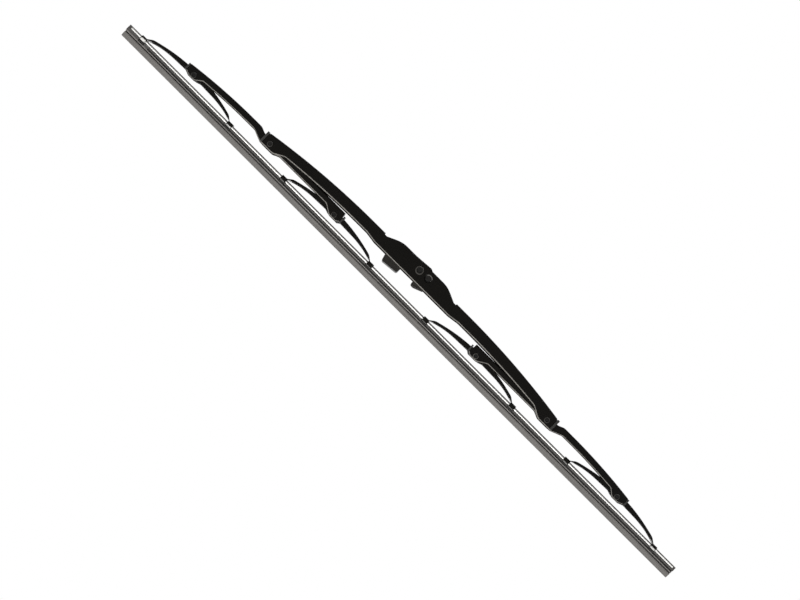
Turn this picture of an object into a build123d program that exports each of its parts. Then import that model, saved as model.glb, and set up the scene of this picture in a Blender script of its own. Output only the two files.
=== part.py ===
import os
from math import acos, cos, hypot, radians, tan

from build123d import *

# Framed wiper blade for a hook arm, in millimetres.
# The origin is the middle of the cross pin, about which the arm swings. X runs along the blade,
# Y across it, and Z from the glass up to the arm.

# Pivots: each height hangs from the one above it
bridge_rivet_reach = 142.2
bridge_rivet_drop = 11.65
outer_arm = 75.2
inner_arm = 69.3
claw_rivet_drop = 3.55
claw_reach = 44.3
rubber_drop = 6.25

# Wiping rubber: how far it runs past the outermost claws, then its section from the lip upwards
locked_overhang = 14.5
free_overhang = 22.1
lip_width = 0.8
wedge_height = 4.0
wedge_width = 3.8
wedge_shoulder = 0.8
hinge_height = 0.65
hinge_width = 1.0
stop_height = 0.8
stop_width = 5.2
claw_neck_width = 2.8
body_height = 1.55
body_width = 7.8
spine_width = 2.4
head_height = 0.8
head_width = 7.4
head_round = 0.35
end_wall = 2.0
end_round = 1.8
lock_block = 4.0
lock_gap = 0.35

# Spring rails in the rubber's side slots
rail_thickness = 1.05
rail_clearance = 0.05
rail_end_round = 0.9

# Claw levers
claw_sheet = 0.8
claw_length = 5.0
claw_clearance = 0.12
claw_round = 0.9
hook_gap = 0.3
lever_width = 5.2
lever_crown = 3.0
lever_radius = 140.0
lever_waist = 1.0
lever_waist_reach = 30.9
lever_waist_fall = 0.7
lever_waist_radius = 76.0
lever_boss_half = 4.2
lever_boss_drop = 2.2
lever_boss_ramp = 3.5
heel_length = 3.8
heel_round = 8.0
flare_length = 9.0
flare_round = 12.0
lever_bend = 0.5

# Moulded liners in the riveted pivots
side_play = 0.05
claw_bush_wall = 0.5
bridge_bush_wall = 0.6
bush_leg_half = 2.1
claw_bush_flange = 1.3
bridge_bush_flange = 1.8
bush_flange_gap = 0.05
bush_flange_inset = 0.25
bush_sway = 0.65
claw_flange_height = 4.6

# Secondary bridges
secondary_sheet = 0.9
secondary_bend = 1.0
secondary_rim = 0.6
outer_end_reach = 7.1
inner_end_reach = 6.3
neck_height = 3.2
neck_start = 8.6
neck_length = 4.6
neck_round = 5.0
hump_height = 5.2
hump_flat = 36.5
hump_round = 7.0
hump_radius = 490.0
outer_end_height = 1.35
outer_edge_drop = 0.05
outer_edge_fall = 1.9
outer_edge_bend = 27.0
outer_edge_radius = 400.0
inner_edge_drop = 1.45
boss_half = 5.6
outer_boss_half = 7.3
boss_drop = 3.65
boss_round = 4.0
inner_boss_ramp = 5.5
outer_boss_ramp = 9.0
ear_half = 2.8
ear_drop = 2.5
ear_knee = 0.8
ear_toe = 2.5
outer_ear_toe = 4.4
ear_ramp = 7.2
outer_ear_ramp = 5.2
ear_round = 3.5
end_corner = 0.8
end_step = 0.8
end_step_height = 3.7
end_step_fall = 0.5

# Primary bridge
primary_sheet = 1.1
primary_bend = 1.0
primary_rim = 0.7
primary_end_cut = 1.1
primary_end_reach = 5.55
window_clear = 12.0
taper_margin = 5.5
straight_end = 26.0
taper_round = 150.0
crown_height = 1.9
crown_flat = 98.0
crown_radius = 650.0
end_top_drop = 5.65
belly_drop = 8.4
belly_margin = 1.5
belly_round = 12.0
waist_rise = 1.3
waist_ramp = 9.0
edge_flat = 91.0
edge_radius = 760.0
edge_fall = 3.5
bridge_ear_half = 5.8
bridge_ear_drop = 3.75
bridge_ear_ramp = 8.5
bridge_ear_round = 6.0
window_half = 36.5
notch_width = 2.2
notch_depth = 1.1
notch_round = 0.5
lobe_height = 6.0
lobe_flat = 23.0
lobe_round = 22.0
side_pin_hole = 4.84
side_pin_offset = 8.8
coin_width = 0.8
coin_depth = 0.4

# Rivets and cross pin
rivet_diameter = 3.0
rivet_head = 4.4
rivet_head_height = 0.7
rivet_dish = 2.0
cross_pin_diameter = 4.8
cross_pin_head = 6.4
cross_pin_head_height = 0.9
cross_pin_dish = 3.2
dish_depth = 0.4
head_chamfer = 0.35
running_play = 0.05

# Arm clip
hook_width = 9.0
hook_play = 0.2
clip_side_play = 0.15
core_half = 4.0
core_back = 12.0
core_corner = 1.0
throat_width = 4.2
clip_crest = 7.15
clip_crest_reach = 5.4
clip_shoulder = 6.05
clip_shoulder_reach = 9.5
clip_brow = 5.6
clip_brow_reach = 8.6
clip_nose_reach = 11.2
clip_toe_reach = 12.6
clip_toe_drop = 8.8
clip_keel_reach = 5.2
clip_keel_drop = 11.7
clip_back = 26.5
clip_back_height = 3.0
clip_back_wall = 1.3
clip_round = 1.4
clip_soft_round = 5.6
clip_crest_round = 2.8
throat_round = 0.7
notch_roof_drop = 6.4
pad_top_drop = 8.4
pad_front = 10.8
pad_front_drop = 12.9
pad_back = 24.9
pad_back_drop = 14.2

# Sizes that follow from those above
claw_groove_height = claw_sheet + 2 * claw_clearance
rail_slot_height = rail_thickness + 2 * rail_clearance
hinge_top = wedge_height + hinge_height
stop_top = hinge_top + stop_height
body_bottom = stop_top + claw_groove_height
slot_bottom = body_bottom + body_height
slot_top = slot_bottom + rail_slot_height
rubber_height = slot_top + head_height

bridge_rivet_z = -bridge_rivet_drop
claw_rivet_z = bridge_rivet_z - claw_rivet_drop
lip_z = claw_rivet_z - rubber_drop - rubber_height
outer_rivet_x = bridge_rivet_reach + outer_arm
inner_rivet_x = bridge_rivet_reach - inner_arm
end_claw_x = outer_rivet_x + claw_reach
rubber_left = -end_claw_x - locked_overhang
rubber_right = end_claw_x + free_overhang
rubber_length = rubber_right - rubber_left

lever_half = lever_width / 2
claw_half = body_width / 2 + claw_clearance + claw_sheet
claw_bush_inner = lever_half + side_play
claw_bush_half = claw_bush_inner + claw_bush_wall
secondary_inner = claw_bush_half + side_play
secondary_half = secondary_inner + secondary_sheet
bridge_bush_inner = secondary_half + side_play
bridge_bush_half = bridge_bush_inner + bridge_bush_wall
primary_end_inner = bridge_bush_half + side_play
primary_end_half = primary_end_inner + primary_sheet
primary_inner = window_clear / 2
primary_half = primary_inner + primary_sheet
primary_end = bridge_rivet_reach + primary_end_reach
straight_middle = window_half + taper_margin
belly_half = window_half + belly_margin
clip_half = primary_inner - clip_side_play
clip_inner = hook_width / 2 + hook_play
beyond = 40.0
web_tilt_angle = 25
rim_tilt_angle = 60


def outline_edges(corners):
    # Closed outline through corners of (x, z, radius). Arcs that would meet on a side share it.
    count = len(corners)
    sides = []
    for i in range(count):
        x0, z0, _ = corners[i]
        x1, z1, _ = corners[(i + 1) % count]
        length = hypot(x1 - x0, z1 - z0)
        sides.append(((x1 - x0) / length, (z1 - z0) / length, length))
    turns = []
    for i in range(count):
        turns.append(acos(sides[i - 1][0] * sides[i][0] + sides[i - 1][1] * sides[i][1]))
    wanted = [corner[2] * tan(turn / 2) for corner, turn in zip(corners, turns)]
    reach = list(wanted)
    for i in range(count):
        j = (i + 1) % count
        room = 0.98 * sides[i][2]
        if wanted[i] + wanted[j] > room:
            share = room / (wanted[i] + wanted[j])
            reach[i] = min(reach[i], wanted[i] * share)
            reach[j] = min(reach[j], wanted[j] * share)
    starts = []
    ends = []
    for i in range(count):
        x, z, _ = corners[i]
        starts.append((x - sides[i - 1][0] * reach[i], z - sides[i - 1][1] * reach[i]))
        ends.append((x + sides[i][0] * reach[i], z + sides[i][1] * reach[i]))
    edges = []
    for i in range(count):
        if reach[i] > 0:
            x, z, _ = corners[i]
            inward = Vector(sides[i][0] - sides[i - 1][0], sides[i][1] - sides[i - 1][1]).normalized()
            depth = reach[i] / tan(turns[i] / 2) * (1 / cos(turns[i] / 2) - 1)
            middle = (x + inward.X * depth, z + inward.Y * depth)
            edges.append(ThreePointArc(starts[i], middle, ends[i]))
        edges.append(Line(ends[i], starts[(i + 1) % count]))
    return edges


def side_solid(corners, half_width):
    # Outline seen from the side, carried across the blade both ways
    return extrude(Plane.XZ * make_face(outline_edges(corners)), amount=half_width, both=True)


def plan_solid(corners):
    # Outline seen from above, carried through the whole height
    return extrude(make_face(outline_edges(corners)), amount=beyond, both=True)


def mirrored(corners):
    # Right half of an outline, then its left half. A corner on the middle line counts once.
    left = [(-x, z, radius) for x, z, radius in reversed(corners) if x > 0]
    return corners + left


def cross_hole(diameter, x, z, half_width):
    return Pos(x, 0, z) * Rot(90, 0, 0) * Cylinder(diameter / 2, 2 * half_width)


def block(x0, x1, half_width, z0, z1):
    return Pos((x0 + x1) / 2, 0, (z0 + z1) / 2) * Box(x1 - x0, 2 * half_width, z1 - z0)


def upper_bends(shape, start):
    # Long edges of the upward faces beyond a distance from the middle
    webs = [
        face for face in shape.faces()
        if face.normal_at(face.center()).Z > cos(radians(web_tilt_angle)) and abs(face.center().X) > start
    ]
    return [edge for web in webs for edge in web.edges() if abs(edge.center().Y) > lever_half / 2]


def lower_rims(shape):
    # Outer edges of the walls' downward cut faces
    cuts = [
        face for face in shape.faces()
        if face.normal_at(face.center()).Z < -cos(radians(rim_tilt_angle))
        and abs(face.center().Y) > lever_half
    ]
    return [max(cut.edges(), key=lambda edge: abs(edge.center().Y)) for cut in cuts]


def taper_plan(middle_half, end_half, reach):
    # Parallel in the middle and at both ends, narrowing in between
    taper_end = primary_end - straight_end
    return plan_solid(mirrored([
        (straight_middle, -middle_half, taper_round),
        (taper_end, -end_half, taper_round),
        (reach, -end_half, 0),
        (reach, end_half, 0),
        (taper_end, end_half, taper_round),
        (straight_middle, middle_half, taper_round),
    ]))


def primary_bridge():
    ear_x = bridge_rivet_reach - bridge_ear_half
    ear_z = bridge_rivet_z - bridge_ear_drop
    waist_z = waist_rise - belly_drop
    notch_z = crown_height - notch_depth
    end_slope = (crown_height + end_top_drop) / (primary_end - crown_flat)
    outline = mirrored([
        (belly_half, -belly_drop, belly_round),
        (belly_half + waist_ramp, waist_z, belly_round),
        (edge_flat, waist_z, edge_radius),
        (ear_x - bridge_ear_ramp, waist_z - edge_fall, bridge_ear_round),
        (ear_x, ear_z, bridge_ear_round),
        (primary_end, ear_z, end_corner),
        (primary_end, -end_top_drop, 0),
        (crown_flat, crown_height, crown_radius),
        (window_half, crown_height, 0),
        (window_half, notch_z, notch_round),
        (window_half - notch_width, notch_z, notch_round),
        (lobe_flat, lobe_height, lobe_round),
    ])
    hollow = mirrored([
        (primary_end + beyond, -beyond, 0),
        (primary_end + beyond, -end_top_drop - primary_sheet - end_slope * beyond, 0),
        (crown_flat, crown_height - primary_sheet, crown_radius),
        (window_half, crown_height - primary_sheet, 0),
        (window_half, beyond, 0),
    ])
    shell = side_solid(outline, beyond) & taper_plan(primary_half, primary_end_half, primary_end + beyond)
    shell = fillet(upper_bends(shell, window_half), primary_bend)
    inside = taper_plan(primary_inner, primary_end_inner, primary_end + 2 * beyond)
    shell -= side_solid(hollow, beyond) & inside
    shell = fillet(lower_rims(shell), primary_rim)
    end_corner_cut = side_solid([
        (primary_end - primary_end_cut, beyond, 0),
        (primary_end - primary_end_cut, end_slope * primary_end_cut - end_top_drop, 0),
        (primary_end, -end_top_drop - primary_end_cut, 0),
        (primary_end + beyond, -end_top_drop - primary_end_cut, 0),
        (primary_end + beyond, beyond, 0),
    ], primary_half)
    shell -= end_corner_cut
    shell -= mirror(end_corner_cut, about=Plane.YZ)
    for x in (-bridge_rivet_reach, bridge_rivet_reach):
        shell -= cross_hole(rivet_diameter, x, bridge_rivet_z, primary_half)
    shell -= cross_hole(cross_pin_diameter, 0, 0, primary_half)
    shell -= cross_hole(side_pin_hole, side_pin_offset, 0, primary_half)
    mouth = Cone(side_pin_hole / 2, side_pin_hole / 2 + coin_width, coin_depth)
    for side in (-1, 1):
        place = Pos(side_pin_offset, side * (primary_half - coin_depth / 2), 0)
        shell -= place * Rot(-90 * side, 0, 0) * mouth
    return shell


def secondary_bridge():
    # Right-hand lever about its own rivet. The long arm reaches out, the short one in under the primary.
    outer_end = outer_arm + outer_end_reach
    inner_end = inner_arm + inner_end_reach
    rivet_z = -claw_rivet_drop
    ear_z = rivet_z - ear_drop
    hump_start = neck_start + neck_length
    hump_bend = hump_start + hump_flat
    ramp_x = outer_arm - ear_half - outer_ear_ramp
    end_slope = (hump_height - outer_end_height) / (outer_end - hump_bend)
    outline = [
        (-inner_end, rivet_z - ear_knee, end_corner),
        (-inner_end + ear_toe, ear_z, end_corner),
        (-inner_arm + ear_half, ear_z, ear_round),
        (-inner_arm + ear_half + ear_ramp, -inner_edge_drop, ear_round),
        (-boss_half - inner_boss_ramp, -inner_edge_drop, boss_round),
        (-boss_half, -boss_drop, boss_round),
        (outer_boss_half, -boss_drop, boss_round),
        (outer_boss_half + outer_boss_ramp, -outer_edge_drop, boss_round),
        (ramp_x - outer_edge_bend, -outer_edge_drop, outer_edge_radius),
        (ramp_x, -outer_edge_drop - outer_edge_fall, ear_round),
        (outer_arm - ear_half, ear_z, ear_round),
        (outer_end - outer_ear_toe, ear_z, end_corner),
        (outer_end, rivet_z - ear_knee, end_corner),
        (outer_end, outer_end_height, 0),
        (hump_bend, hump_height, hump_radius),
        (hump_start, hump_height, hump_round),
        (neck_start, neck_height, neck_round),
        (-inner_end + end_step, neck_height, 0),
        (-inner_end + end_step, rivet_z + end_step_height, 0),
        (-inner_end, rivet_z + end_step_height - end_step_fall, 0),
    ]
    hollow = [
        (-inner_end - beyond, -beyond, 0),
        (outer_end + beyond, -beyond, 0),
        (outer_end + beyond, outer_end_height - secondary_sheet - end_slope * beyond, 0),
        (hump_bend, hump_height - secondary_sheet, hump_radius),
        (hump_start, hump_height - secondary_sheet, hump_round),
        (neck_start, neck_height - secondary_sheet, neck_round),
        (-inner_end - beyond, neck_height - secondary_sheet, 0),
    ]
    shell = side_solid(outline, secondary_half)
    shell = fillet(upper_bends(shell, 0), secondary_bend)
    shell -= side_solid(hollow, secondary_inner)
    shell = fillet(lower_rims(shell), secondary_rim)
    shell -= cross_hole(rivet_diameter + 2 * running_play, 0, 0, secondary_half)
    for x in (-inner_arm, outer_arm):
        shell -= cross_hole(rivet_diameter, x, rivet_z, secondary_half)
    return shell


def claw(x):
    # C-shaped claw: over the rubber's head, down past the rails and in under its body
    top = claw_clearance + claw_sheet - rubber_drop
    hook_top = body_bottom - rubber_height - rubber_drop + claw_sheet - claw_groove_height + claw_clearance
    hook_bottom = hook_top - claw_sheet
    inner = claw_half - claw_sheet
    tip = claw_neck_width / 2 + hook_gap
    section = make_face(outline_edges([
        (tip, hook_bottom, 0),
        (claw_half, hook_bottom, claw_round),
        (claw_half, top, claw_round),
        (-claw_half, top, claw_round),
        (-claw_half, hook_bottom, claw_round),
        (-tip, hook_bottom, 0),
        (-tip, hook_top, 0),
        (-inner, hook_top, 0),
        (-inner, top - claw_sheet, 0),
        (inner, top - claw_sheet, 0),
        (inner, hook_top, 0),
        (tip, hook_top, 0),
    ]))
    return Pos(x, 0, 0) * extrude(Plane.YZ * section, amount=claw_length / 2, both=True)


def claw_lever():
    # Arched lever about its own rivet, widening to a claw at each end
    foot_z = claw_clearance + claw_sheet - rubber_drop
    claw_edge = claw_reach - claw_length / 2
    foot_x = claw_edge + claw_sheet
    heel_x = foot_x - heel_length
    heel_z = lever_crown - heel_x ** 2 / (2 * lever_radius)
    peak_z = lever_crown + heel_x ** 2 / (2 * lever_radius)
    outline = mirrored([
        (lever_boss_half, -lever_boss_drop, ear_round),
        (lever_boss_half + lever_boss_ramp, -lever_waist, ear_round),
        (lever_waist_reach, -lever_waist - lever_waist_fall, lever_waist_radius),
        (claw_edge, foot_z, 0),
        (claw_edge, foot_z - claw_sheet / 2, 0),
        (foot_x, foot_z - claw_sheet / 2, 0),
        (foot_x, foot_z, 0),
        (heel_x, heel_z, heel_round),
        (0, peak_z, lever_radius),
    ])
    hollow = mirrored([
        (heel_x, -beyond, 0),
        (heel_x, heel_z - claw_sheet, 0),
        (0, peak_z - claw_sheet, lever_radius),
    ])
    flare_x = foot_x - flare_length
    outside = mirrored([
        (flare_x, -lever_half, flare_round),
        (foot_x, -claw_half, 0),
        (foot_x, claw_half, 0),
        (flare_x, lever_half, flare_round),
    ])
    inside = [(x, y * (1 - claw_sheet / abs(y)), radius) for x, y, radius in outside]
    lever = side_solid(outline, claw_half) & plan_solid(outside)
    lever = fillet(upper_bends(lever, 0), lever_bend)
    lever -= side_solid(hollow, claw_half) & plan_solid(inside)
    for side in (-1, 1):
        lever += claw(side * claw_reach)
    lever -= cross_hole(rivet_diameter + 2 * running_play, 0, 0, claw_half)
    return lever


def bush(
    inner_half, outer_half, flange_half, end_reach, knee, toe_reach, toe_drop, opening_top, flange_top,
    flange_length,
):
    # Liner about its rivet: a leg each side of the inner lever, joined by a flange past the channel's end
    flange_x = end_reach + bush_flange_gap
    legs = side_solid([
        (-bush_leg_half, -bush_leg_half, bush_leg_half),
        (toe_reach, -bush_leg_half, 0),
        (end_reach, -knee, 0),
        (flange_x + flange_length / 2, -knee, 0),
        (flange_x + flange_length / 2, bush_leg_half, 0),
        (-bush_leg_half, bush_leg_half, bush_leg_half),
    ], outer_half)
    flange = side_solid([
        (flange_x, flange_top, 0),
        (flange_x, -knee, 0),
        (toe_reach + bush_flange_gap, -toe_drop, 0),
        (toe_reach + bush_flange_gap + flange_length, -toe_drop, 0),
        (flange_x + flange_length, -knee, 0),
        (flange_x + flange_length, flange_top, 0),
    ], flange_half)
    liner = legs + flange
    liner -= block(-beyond, beyond, inner_half, -beyond, opening_top)
    liner -= cross_hole(rivet_diameter + 2 * running_play, 0, 0, outer_half)
    return liner


def claw_bush(end_reach, toe_back):
    return bush(
        claw_bush_inner, claw_bush_half, secondary_half - bush_flange_inset, end_reach, ear_knee,
        end_reach - toe_back, ear_drop, lever_crown + bush_sway, claw_flange_height, claw_bush_flange,
    )


def bridge_bush():
    foot_drop = bridge_ear_drop - end_corner
    return bush(
        bridge_bush_inner, bridge_bush_half, primary_end_half - bush_flange_inset, primary_end_reach, 0,
        primary_end_reach, foot_drop, neck_height + bush_sway, bridge_rivet_drop - end_top_drop,
        bridge_bush_flange,
    )


def headed_pin(diameter, head, head_height, dish, seat):
    # Turned about Y, with a dished head closed on the outer wall at each end
    top = seat + head_height
    right = [
        (0, top - dish_depth),
        (dish / 2, top - dish_depth),
        (dish / 2 + head_chamfer, top),
        (head / 2 - head_chamfer, top),
        (head / 2, top - head_chamfer),
        (head / 2, seat),
        (diameter / 2, seat),
    ]
    points = right + [(x, -y) for x, y in reversed(right)]
    return revolve(make_face(Polyline(*points, close=True)), Axis.Y)


def arm_clip():
    # Moulded clip: two cheeks joined by a core on the cross pin and by the thumb pad
    throat = throat_width / 2
    outline = [
        (throat, -clip_keel_drop, clip_round),
        (clip_keel_reach, -clip_keel_drop, clip_round),
        (clip_toe_reach, -clip_toe_drop, clip_round),
        (clip_nose_reach, 0, clip_soft_round),
        (clip_brow_reach, clip_brow, clip_round),
        (clip_crest_reach, clip_crest, clip_crest_round),
        (-clip_shoulder_reach, clip_shoulder, clip_soft_round),
        (-clip_back, clip_back_height, clip_crest_round),
        (-clip_back, -pad_top_drop, clip_round),
        (-pad_back, -pad_back_drop, clip_round),
        (-pad_front, -pad_front_drop, clip_round),
        (-pad_front, -notch_roof_drop, clip_round),
        (-throat, -notch_roof_drop, throat_round),
        (-throat, 0, 0),
        (throat, 0, 0),
    ]
    core = side_solid([
        (core_half, -core_half, core_half),
        (core_half, core_half, core_half),
        (-core_back, core_half, core_corner),
        (-core_back, -core_half, core_corner),
    ], clip_half)
    clip = side_solid(outline, clip_half)
    clip -= block(clip_back_wall - clip_back, beyond, clip_inner, -pad_top_drop, beyond) - core
    clip -= block(-pad_front, beyond, clip_inner, -beyond, -pad_top_drop)
    clip -= block(-beyond, beyond, clip_inner, core_half, beyond)
    clip -= cross_hole(cross_pin_diameter + 2 * running_play, 0, 0, clip_half)
    return clip


def rubber_section(layers):
    # Symmetric section from (half width, height above the lip) pairs, lowest first
    right = [(half, height) for half, height in layers]
    points = right + [(-half, height) for half, height in reversed(right)]
    return Plane.YZ * make_face(Polyline(*points, close=True))


def wiping_rubber():
    lower = rubber_section([
        (lip_width / 2, 0),
        (wedge_width / 2, wedge_height - wedge_shoulder),
        (wedge_width / 2, wedge_height),
        (hinge_width / 2, wedge_height),
        (hinge_width / 2, hinge_top),
        (stop_width / 2, hinge_top),
        (stop_width / 2, stop_top),
        (claw_neck_width / 2, stop_top),
        (claw_neck_width / 2, body_bottom),
    ])
    upper = rubber_section([
        (body_width / 2, body_bottom),
        (body_width / 2, slot_bottom),
        (spine_width / 2, slot_bottom),
        (spine_width / 2, slot_top),
        (head_width / 2, slot_top),
        (head_width / 2, rubber_height - head_round),
        (head_width / 2 - head_round, rubber_height),
    ])
    rubber = Pos(rubber_left, 0, 0) * extrude(lower, amount=rubber_length, dir=(1, 0, 0))
    upper_length = rubber_length - 2 * end_wall
    rubber += Pos(rubber_left + end_wall, 0, 0) * extrude(upper, amount=upper_length, dir=(1, 0, 0))
    cap_half = head_width / 2
    rubber += side_solid([
        (rubber_right - end_wall, body_bottom, 0),
        (rubber_right, body_bottom, 0),
        (rubber_right, rubber_height, end_round),
        (rubber_right - end_wall, rubber_height, 0),
    ], cap_half)
    rubber += side_solid([
        (rubber_left, body_bottom, 0),
        (rubber_left + end_wall, body_bottom, 0),
        (rubber_left + end_wall, rubber_height, 0),
        (rubber_left, rubber_height, head_round),
    ], cap_half)
    claw_left = -end_claw_x - claw_length / 2 - lock_gap
    claw_right = -end_claw_x + claw_length / 2 + lock_gap
    rubber += block(rubber_left, claw_left, cap_half, stop_top, body_bottom)
    rubber += block(claw_right, claw_right + lock_block, cap_half, stop_top, body_bottom)
    return Pos(0, 0, lip_z) * rubber


def rail():
    # Far-side rail: a flat strip flush with the rubber's body
    inner = spine_width / 2 + rail_clearance
    width = body_width / 2 - inner
    length = rubber_length - 2 * end_wall - 2 * rail_clearance
    strip = extrude(RectangleRounded(length, width, rail_end_round), amount=rail_thickness)
    middle = (rubber_left + rubber_right) / 2
    return Pos(middle, inner + width / 2, lip_z + slot_bottom + rail_clearance) * strip


def save(node, shape):
    export_step(shape, f"parts/{node}.step")


os.makedirs("parts", exist_ok=True)

save("primary_bridge", primary_bridge())
save("cross_pin", headed_pin(
    cross_pin_diameter, cross_pin_head, cross_pin_head_height, cross_pin_dish, primary_half,
))
save("arm_clip", arm_clip())
save("wiping_rubber", wiping_rubber())
far_rail = rail()
save("rail_far", far_rail)
save("rail_near", mirror(far_rail, about=Plane.XZ))

bridge_rivet = headed_pin(rivet_diameter, rivet_head, rivet_head_height, rivet_dish, primary_end_half)
claw_rivet = headed_pin(rivet_diameter, rivet_head, rivet_head_height, rivet_dish, secondary_half)
lever = claw_lever()
bridge_spot = Pos(bridge_rivet_reach, 0, bridge_rivet_z)
outer_spot = Pos(outer_rivet_x, 0, claw_rivet_z)
inner_spot = Pos(inner_rivet_x, 0, claw_rivet_z)
right_side = {
    "secondary_bridge": bridge_spot * secondary_bridge(),
    "bridge_rivet": bridge_spot * bridge_rivet,
    "bridge_bush": bridge_spot * bridge_bush(),
    "claw_lever_outer": outer_spot * lever,
    "claw_rivet_outer": outer_spot * claw_rivet,
    "claw_bush_outer": outer_spot * claw_bush(outer_end_reach, outer_ear_toe),
    "claw_lever_inner": inner_spot * lever,
    "claw_rivet_inner": inner_spot * claw_rivet,
    "claw_bush_inner": inner_spot * mirror(claw_bush(inner_end_reach, ear_toe), about=Plane.YZ),
}
for name, shape in right_side.items():
    save(f"{name}_right", shape)
    save(f"{name}_left", mirror(shape, about=Plane.YZ))
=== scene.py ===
import math

import bmesh
import bpy
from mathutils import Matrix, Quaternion, Vector


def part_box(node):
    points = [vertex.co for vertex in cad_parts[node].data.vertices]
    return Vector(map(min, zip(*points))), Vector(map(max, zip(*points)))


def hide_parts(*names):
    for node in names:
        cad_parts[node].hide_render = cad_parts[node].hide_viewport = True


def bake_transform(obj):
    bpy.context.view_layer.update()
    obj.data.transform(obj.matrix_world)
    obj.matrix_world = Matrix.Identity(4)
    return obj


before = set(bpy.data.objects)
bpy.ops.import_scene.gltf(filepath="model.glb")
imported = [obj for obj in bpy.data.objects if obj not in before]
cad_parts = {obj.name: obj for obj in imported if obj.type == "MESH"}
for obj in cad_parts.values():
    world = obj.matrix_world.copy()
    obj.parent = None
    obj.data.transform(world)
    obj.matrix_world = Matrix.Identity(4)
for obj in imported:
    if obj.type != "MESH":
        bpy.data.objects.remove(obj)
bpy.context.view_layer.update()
mm = 0.001
hair = 0.01  # mm, tolerance when something is picked by its place
square = 0.9  # least part of a normal along an axis that counts as facing it
parallel = 0.95  # least part of an edge along X that counts as running along it
rubberLow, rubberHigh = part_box("wiping_rubber")
lip = rubberLow.z / mm  # heights on the rubber and claws are measured from here
print("frame loaded:", len(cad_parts), "nodes")


# small tools

def deselectAll():
    if bpy.context.object and bpy.context.object.mode != "OBJECT":
        bpy.ops.object.mode_set(mode="OBJECT")
    bpy.ops.object.select_all(action="DESELECT")


def startBlock(name, low, high):  # cube primitive between two corners, in mm
    deselectAll()
    low = Vector(low) * mm
    high = Vector(high) * mm
    bpy.ops.mesh.primitive_cube_add(size=1, location=(low + high) / 2)
    block = bpy.context.object
    block.name = name
    block.scale = high - low
    bpy.ops.object.transform_apply(location=True, rotation=True, scale=True)
    return block


def pick(kind, test):  # selects by place or normal in edit mode
    bpy.ops.mesh.select_mode(type=kind)
    bpy.ops.mesh.select_all(action="DESELECT")
    mesh = bmesh.from_edit_mesh(bpy.context.object.data)
    parts = {"VERT": mesh.verts, "EDGE": mesh.edges, "FACE": mesh.faces}[kind]
    for part in parts:
        if test(part):
            part.select_set(True)
    bmesh.update_edit_mesh(bpy.context.object.data)


def alongX(edge):
    span = edge.verts[1].co - edge.verts[0].co
    return abs(span.x) > parallel * span.length


def middle(edge):
    return (edge.verts[0].co + edge.verts[1].co) / 2


def crossCuts(spacing, test=alongX):  # edge rings across X, so that the piece can bend
    xs = [vert.co.x for vert in bmesh.from_edit_mesh(bpy.context.object.data).verts]
    pick("EDGE", test)
    bpy.ops.mesh.subdivide(number_cuts=int((max(xs) - min(xs)) / mm / spacing))


def weld(obj, extra):  # joins a second solid into the first
    deselectAll()
    obj.select_set(True)
    bpy.context.view_layer.objects.active = obj
    bpy.ops.object.modifier_add(type="BOOLEAN")
    union = obj.modifiers[-1]
    union.operation = "UNION"
    union.solver = "EXACT"
    union.object = extra
    bpy.ops.object.modifier_apply(modifier=union.name)
    bpy.data.objects.remove(extra)


def smooth(obj, angle):
    deselectAll()
    obj.select_set(True)
    bpy.context.view_layer.objects.active = obj
    bpy.ops.object.shade_smooth_by_angle(angle=math.radians(angle))


# material tools

def linear(code):  # sRGB hex to linear
    parts = [int(code[i:i + 2], 16) / 255 for i in (1, 3, 5)]
    return tuple(p / 12.92 if p <= 0.04045 else ((p + 0.055) / 1.055) ** 2.4 for p in parts) + (1,)


def addNode(tree, kind, settings={}, links={}):
    node = tree.nodes.new(kind)
    for key, value in settings.items():
        setattr(node, key, value)
    for socket, value in links.items():
        if isinstance(value, bpy.types.NodeSocket):
            tree.links.new(value, node.inputs[socket])
        else:
            node.inputs[socket].default_value = value
    return node


def startMaterial(name, bends=False):
    material = bpy.data.materials.new(name)
    material.use_nodes = True
    tree = material.node_tree
    tree.nodes.clear()
    if bends:  # place before bending, kept on the mesh
        place = addNode(tree, "ShaderNodeAttribute", {"attribute_name": "restPlace"}).outputs["Vector"]
    else:
        place = addNode(tree, "ShaderNodeTexCoord").outputs["Object"]
    shader = addNode(tree, "ShaderNodeBsdfPrincipled")
    addNode(tree, "ShaderNodeOutputMaterial", links={"Surface": shader.outputs["BSDF"]})
    return material, tree, place, shader


painted = []


def paint(nodes, material):
    for name in nodes:
        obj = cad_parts[name]
        obj.data.materials.clear()
        obj.data.materials.append(material)
        painted.append(name)


# black electro-coated pressed steel: dipped, so an even satin film with faint orange peel.
# The down-facing cut edges of the walls are painted lighter grey, partly thin coat and partly a painted
# highlight from light below; the crimped claw legs carry a pale band, partly rubbed-bare steel and partly a
# painted highlight
coat = {
    "black": "#0b0a08", "dust": "#110f0c", "edge": "#8a8781", "zinc": "#f6f5f1",
    "peel": 1.4, "peelDepth": 0.02, "patch": 14.0, "fleck": 3.0,  # mm
    "legHalf": 2.6, "legFade": 1.0, "bandFade": 0.6, "borderNoise": 0.7, "ragged": 0.3,  # mm
    "holesAbove": -4.0, "holeFade": 0.2,  # mm
    "holeEdge": 0.3, "edgeLeast": 0.55,  # share of the painted highlight on the rims of the holes, and the least on other edges
    "turn": (-0.1, -0.4),  # normal's z where the painted highlight on down-facing edges begins, and where it is full
    "fleckRange": (0.2, 0.6), "borderNoiseRange": (0.3, 0.7), "peelShare": 0.25,
    "roughness": 0.26, "edgeRoughness": 0.5, "legPatchRoughness": 0.55, "gloss": 0.2,
}


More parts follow.
